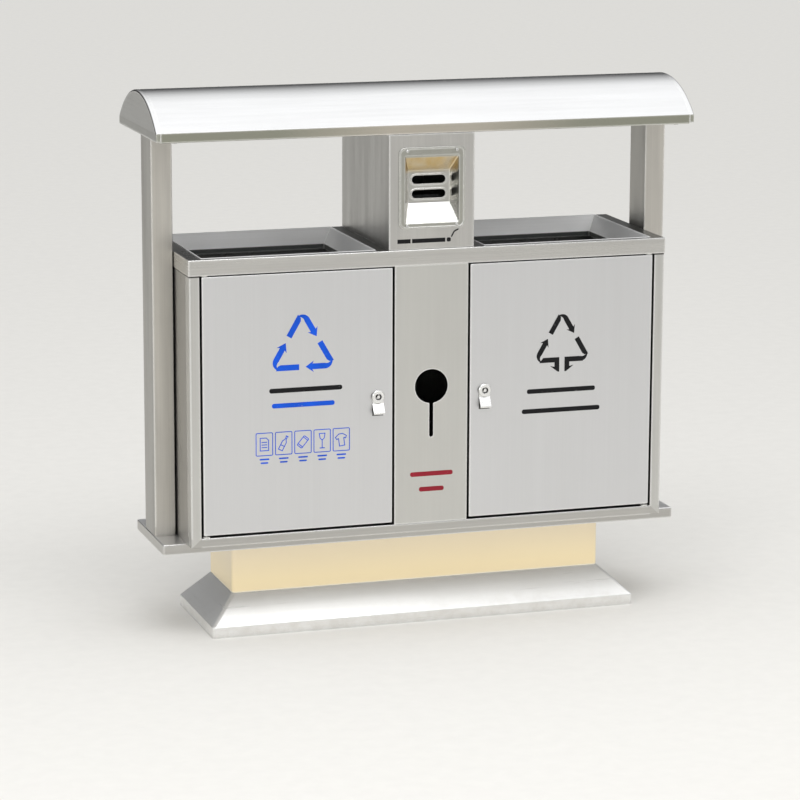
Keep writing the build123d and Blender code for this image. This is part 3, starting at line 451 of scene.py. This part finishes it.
def zinc_plated(name):
    """Fasteners and brackets: mottled zinc, with a painted highlight on the edges and painted shade in the
    corners.
    """
    material, tree, shader = new_material(name)
    mottled = noise(tree, mottle_grain, 4.0)
    base = mixed(tree, remap(tree, mottled, 0.35, 0.65, 0, 1), dark_zinc, pale_zinc)
    edge_highlighted = mixed(tree, edge_mask(tree, edge_radius), base, painted_edge_highlight)
    crevice_shade = crevice_shade_mask(tree, fitting_shade_reach)
    tree.links.new(mixed(tree, crevice_shade, edge_highlighted, painted_shade_color), shader.inputs["Base Color"])
    tree.links.new(remap(tree, mottled, 0.3, 0.7, 0.22, 0.38), shader.inputs["Roughness"])
    shader.inputs["Metallic"].default_value = 1.0
    finish_normal(tree, shader, mottled, 0.1, fitting_relief, radius=zinc_edge)
    return material


def polish_fitting(tree, shader, scratches, smear, crevice_shade, least_rough):
    """Nearly mirror, with hairline scratches, smears and dull dirt in the recesses."""
    rough = total(tree, remap(tree, scratches, 0.35, 0.7, least_rough, least_rough + 0.09),
                  remap(tree, smear, 0.45, 0.75, 0.0, 0.1), product(tree, crevice_shade, 0.4))
    tree.links.new(rough, shader.inputs["Roughness"])
    shader.inputs["Metallic"].default_value = 1.0
    finish_normal(tree, shader, scratches, 0.04, fitting_relief, radius=small_edge)


def fitting_noises(tree):
    scratches = noise(tree, scratch_grain, 3.0, 0.6, stretch=(1, 1, 0.05))
    return scratches, noise(tree, smear_grain, 4.0, 0.6)


def fitting(name):
    """Small pressed and polished parts, with painted shade on their sides and in their corners, and a
    painted highlight on their edges.
    """
    material, tree, shader = new_material(name)
    scratches, smear = fitting_noises(tree)
    base = mixed(tree, remap(tree, smear, 0.4, 0.7, 0, 0.3), fitting_color, scaled(fitting_color, 0.78))
    edge_highlighted = mixed(tree, edge_mask(tree, fitting_highlight_radius), base, painted_edge_highlight)
    # faces that look sideways painted dark, as shade
    side_shaded = mixed(tree, facing(tree, "X", 0.9), edge_highlighted, scaled(painted_dark_tone, 0.3))
    crevice_shade = crevice_shade_mask(tree, fitting_shade_reach)
    tree.links.new(mixed(tree, crevice_shade, side_shaded, painted_shade_color), shader.inputs["Base Color"])
    polish_fitting(tree, shader, scratches, smear, crevice_shade, 0.11)
    return material


def smoked_ceiling(tree, inside):
    """How strongly smoke has stained the ash recess's ceiling, and unevenly."""
    plume = noise(tree, plume_grain, 4.0, 0.6, stretch=(1, 1, 0.5))
    ceiling = by_height(tree, smoke_low, smoke_high, 0.0, 0.9)
    return product(tree, ceiling, inside, remap(tree, plume, 0.3, 0.6, 0.45, 1.0))


def ash_dish(name):
    """The pressed ash panel: a dull flange, a polished recess with painted shade on its back face and in its
    corners, a painted highlight on the edges and smoke stains on the recess's ceiling.
    """
    material, tree, shader = new_material(name)
    scratches, smear = fitting_noises(tree)
    inside = remap(tree, coordinates(tree)["Y"], recess_front, recess_front + recess_depth, 0.0, 1.0)
    back_plate_shade = product(tree, inside, facing(tree, "Y", 1.0))
    base = mixed(tree, inside, flange_color, dish_color)
    # the recess's back face painted darker, as shade
    base = mixed(tree, back_plate_shade, base, scaled(dish_color, 0.70))
    smudged = mixed(tree, remap(tree, smear, 0.4, 0.7, 0, 0.35), base, scaled(flange_color, 0.9))
    stained = mixed(tree, smoked_ceiling(tree, inside), smudged, smoke_color)
    edge_highlighted = mixed(tree, edge_mask(tree, dish_highlight_radius), stained, painted_edge_highlight)
    crevice_shade = crevice_shade_mask(tree, dish_shade_reach)
    tree.links.new(mixed(tree, crevice_shade, edge_highlighted, painted_shade_color), shader.inputs["Base Color"])
    polish_fitting(tree, shader, scratches, smear, crevice_shade, 0.12)
    return material


# ---- rubber, nylon and print ----------------------------------------------------------------------
def moulded(name, color, rough, grain_size, relief):
    """Rubber or plastic with a fine moulded grain and slight unevenness of tone."""
    material, tree, shader = new_material(name)
    grain = noise(tree, grain_size, 4.0, 0.6)
    tone = noise(tree, moulded_tone, 3.0)
    tree.links.new(varied(tree, remap(tree, tone, 0.3, 0.7, 0, 1), color, 0.15), shader.inputs["Base Color"])
    tree.links.new(remap(tree, grain, 0.3, 0.7, rough - 0.08, rough + 0.08), shader.inputs["Roughness"])
    finish_normal(tree, shader, grain, relief, moulded_relief, radius=small_edge)
    return material


def printed_film(name, color, caption_ink=None):
    """Screen print on steel: even ink, thinner in rubbed spots where a little metal shows through.

    caption_ink is the ink of the upper caption, where that isn't the sign's own."""
    material, tree, shader = new_material(name)
    rubbed = noise(tree, rub_grain, 6.0, 0.7)
    tone = noise(tree, ink_grain, 3.0)
    ink = varied(tree, remap(tree, tone, 0.35, 0.65, 0, 1), color, 0.12)
    if caption_ink:
        ink = mixed(tree, between(tree, coordinates(tree)["Z"], *caption), ink, caption_ink)
    wear = remap(tree, rubbed, 0.64, 0.80, 0.0, 0.55)
    tree.links.new(mixed(tree, wear, ink, door_color), shader.inputs["Base Color"])
    tree.links.new(remap(tree, rubbed, 0.4, 0.8, 0.5, 0.65), shader.inputs["Roughness"])
    shader.inputs["Specular IOR Level"].default_value = 0.15
    tree.links.new(bumps(tree, rubbed, 0.05, ink_relief).outputs["Normal"], shader.inputs["Normal"])
    return material


# ---- materials of the nodes -----------------------------------------------------------------------
def cabinet_materials():
    # each tray painted nearly black below the top of its throat, as shade
    throat = (throat_shade_color, *border(throat_top))
    duller_up = (0.85, 0.25, throat_top, throat_top + tray_slope)
    return {
        # a painted shadow line under the deck's band
        "stile": stainless("stainless_stile", stile_color, "upright", rough=0.34, relief=0.10,
                           streak=0.08, bands=0.05, band_shadow=0.9),
        # its upward faces painted dark, as shade under the canopy
        "level": stainless("stainless_level_grain", steel_color, "level", rough=0.28, relief=0.14,
                           streak=0.12, tops=0.9),
        # its upward faces painted bright, as a reflection
        "frame": stainless("stainless_frame", frame_color, "level", rough=0.32, tops=0.9,
                           top_tone=polished_color),
        "tray": stainless("stainless_tray", tray_color, "along_x", rough=0.46, relief=0.08, streak=0.06,
                          bands=0.02, ends=0.7, lower=throat, metal=duller_up),
        # painted shade on the door behind the finger pulls
        "door": stainless("stainless_door_satin", door_color, "upright", rough=0.42, relief=0.06,
                          streak=0.03, bands=0.01, cloud=0.01, pulls=0.9),
        "panel": stainless("stainless_panel_satin", panel_color, "upright", rough=0.40, relief=0.08,
                           streak=0.04, bands=0.02, cloud=0.02),
        # a painted shadow line under the deck's band
        "side": stainless("stainless_side_sheet", side_color, "upright", rough=0.28, relief=0.08,
                          streak=0.07, bands=0.05, band_shadow=0.9),
    }


def stand_materials():
    """The posts, the column, the canopy, the pedestal and the foot."""
    # the canopy and its caps get painted reflections on their lower band
    fascia = (fascia_reflection, *border(fascia_top))
    # the pedestal's painted reflection, warmer towards its bottom
    reflection_down = (pedestal_low_reflection, pedestal_high - pedestal_fade, pedestal_low + pedestal_fade)
    return {
        "upright": stainless("stainless_upright_grain", post_color, "upright", rough=0.30, relief=0.14,
                             streak=0.12, bands=0.12, ends=0.65),
        "column": stainless("stainless_column", steel_color, "upright", rough=0.30, relief=0.14,
                            streak=0.12, bands=0.08, ends=0.5),
        "canopy": stainless("stainless_canopy_polish", polished_color, "along_x", rough=0.17, relief=0.06,
                            streak=0.05, bands=0.04, cloud=0.02, lower=fascia, middle=fascia_middle_reflection),
        "cap": stainless("stainless_cap_polish", polished_color, "level", rough=0.20, relief=0.04,
                         streak=0.04, bands=0.03, ends=0.9, lower=fascia),
        "foot": stainless("stainless_foot", foot_color, "level", rough=0.30, relief=0.02, streak=0.03,
                          bands=0.01, cloud=0.03, metal=0.75, dust=0.25),
        "pedestal": stainless("stainless_pedestal", pedestal_reflection, "level", rough=0.22, relief=0.03,
                              streak=0.015, bands=0.01, cloud=0.01, lower=reflection_down),
    }


def small_materials():
    return {
        "fitting": fitting("stainless_pressed_fitting"),
        "dish": ash_dish("stainless_ash_dish"),
        "galvanised": galvanised("galvanised_spangle"),
        "zinc": zinc_plated("zinc_plated_steel"),
        "rubber": moulded("black_rubber", rubber_color, rough=0.7, grain_size=900.0, relief=0.3),
        "nylon": moulded("natural_nylon", nylon_color, rough=0.45, grain_size=500.0, relief=0.1),
        "blue": printed_film("blue_print", blue_ink, caption_ink=black_ink),
        "black": printed_film("black_print", black_ink),
        "red": printed_film("red_print", red_ink),
    }


node_looks = {
    "upright": ("left_post", "right_post"),
    "stile": ("left_stile", "right_stile"),
    "column": ("column_shell",),
    "level": ("top_deck", "floor_pan", "column_lid", "centre_canopy_bearer"),
    "frame": ("bottom_rail", "plinth_plate"),
    "tray": ("left_inlet_tray", "right_inlet_tray"),
    "door": ("left_door", "right_door"),
    "panel": ("centre_panel",),
    "canopy": ("canopy_shell",),
    "cap": ("left_canopy_cap", "right_canopy_cap"),
    "side": ("left_side_panel", "right_side_panel", "back_panel", "left_partition", "right_partition",
             "left_canopy_bearer", "right_canopy_bearer", "left_door_stiffener", "right_door_stiffener"),
    "foot": ("foot_skirt",),
    "pedestal": ("pedestal_box",),
    "fitting": ("left_lock_body", "right_lock_body", "left_lock_plug", "right_lock_plug",
                "left_finger_pull", "right_finger_pull", "ash_screws"),
    "dish": ("ash_panel",),
    "galvanised": ("left_liner", "right_liner", "hazard_box", "ash_cup", "ash_cup_shelf", "base_plate"),
    "zinc": ("plinth_bolts", "canopy_rivets", "left_pivot_pins", "right_pivot_pins",
             "left_lock_cam", "right_lock_cam", "left_lock_nut", "right_lock_nut", "top_pivot_brackets"),
    "rubber": ("door_buffers",),
    "nylon": ("pivot_bushes",),
    "blue": ("left_door_sign",),
    "black": ("right_door_sign", "stub_out_sign"),
    "red": ("hazard_sign",),
}


def dress_nodes():
    materials = {**cabinet_materials(), **stand_materials(), **small_materials()}
    for look, names in node_looks.items():
        for name in names:
            mesh = nodes[name].data
            mesh.materials.clear()
            mesh.materials.append(materials[look])


# ---- stage, light and camera ----------------------------------------------------------------------
def make_floor():
    """A plain pale floor."""
    mesh = bpy.data.meshes.new("floor")
    corners = [(floor_half * x, floor_half * y, 0.0) for x, y in ((-1, -1), (1, -1), (1, 1), (-1, 1))]
    mesh.from_pydata(corners, [], [(0, 1, 2, 3)])
    floor = bpy.data.objects.new("floor", mesh)
    scene.collection.objects.link(floor)
    material, tree, shader = new_material("pale_floor")
    mottled = noise(tree, floor_grain, 5.0)
    tree.links.new(varied(tree, remap(tree, mottled, 0.3, 0.7, 0, 1), floor_color, 0.015),
                   shader.inputs["Base Color"])
    shader.inputs["Roughness"].default_value = 0.9
    shader.inputs["Specular IOR Level"].default_value = 0.1
    floor.data.materials.append(material)


def make_world():
    """A soft studio surround: a bright ceiling over a dim band, darker and higher behind the station."""
    world = bpy.data.worlds.new("studio")
    scene.world = world
    world.use_nodes = True
    tree = world.node_tree
    background = tree.nodes["Background"]
    direction = coordinates(tree, "Generated")
    level = node(tree, "ShaderNodeMapRange", in_From_Min=horizon_top)
    tree.links.new(direction["Z"], level.inputs["Value"])
    ceiling = remap(tree, direction["Y"], 0.0, rear_turn, front_ceiling, rear_ceiling)
    tree.links.new(ceiling, level.inputs["From Max"])
    horizon = remap(tree, direction["Y"], 0.0, rear_turn, horizon_light, rear_light)
    smooth = node(tree, "ShaderNodeMapRange", interpolation_type="SMOOTHSTEP", in_To_Max=ceiling_light)
    tree.links.new(level.outputs["Result"], smooth.inputs["Value"])
    tree.links.new(horizon, smooth.inputs["To Min"])
    tree.links.new(smooth.outputs["Result"], background.inputs["Strength"])
    background.inputs["Color"].default_value = (*sky_color, 1.0)


def softbox(name, place, target, size, watts):
    light = bpy.data.lights.new(name, "AREA")
    light.shape = "RECTANGLE"
    light.size, light.size_y = size
    light.energy = watts
    lamp = bpy.data.objects.new(name, light)
    lamp.location = place
    lamp.rotation_euler = (Vector(target) - Vector(place)).to_track_quat("-Z", "Y").to_euler()
    scene.collection.objects.link(lamp)


def make_lights():
    middle = (0, 0, 0.6)
    strip = (0.3, 2.4)
    softbox("overhead", place=(-0.2, -1.8, 3.6), target=(0, -0.6, 0), size=(3.0, 1.6), watts=38)
    softbox("front_left", place=(-3.2, -4.2, 2.2), target=middle, size=(2.0, 2.0), watts=22)
    softbox("left_strip", place=(-4.4, -2.0, 1.4), target=middle, size=strip, watts=10)
    softbox("right_strip", place=(4.4, -1.6, 1.4), target=middle, size=strip, watts=10)


def make_camera():
    """The camera's place and axes from its yaw, pitch and roll."""
    forward = Vector((math.sin(camera_yaw) * math.cos(camera_pitch),
                      math.cos(camera_yaw) * math.cos(camera_pitch), -math.sin(camera_pitch)))
    right = forward.cross(Vector((0, 0, 1))).normalized()
    up = right.cross(forward)
    turned_right = math.cos(camera_roll) * right + math.sin(camera_roll) * up
    turned_up = math.cos(camera_roll) * up - math.sin(camera_roll) * right
    data = bpy.data.cameras.new("camera")
    data.lens = camera_lens
    data.sensor_width = camera_sensor
    data.clip_end = camera_reach
    camera = bpy.data.objects.new("camera", data)
    axes = Matrix((turned_right, turned_up, -forward)).transposed().to_4x4()
    camera.matrix_world = Matrix.Translation(camera_place) @ axes
    scene.collection.objects.link(camera)
    scene.camera = camera


dress_nodes()
make_floor()
make_world()
make_lights()
make_camera()
scene.view_settings.view_transform = "Standard"
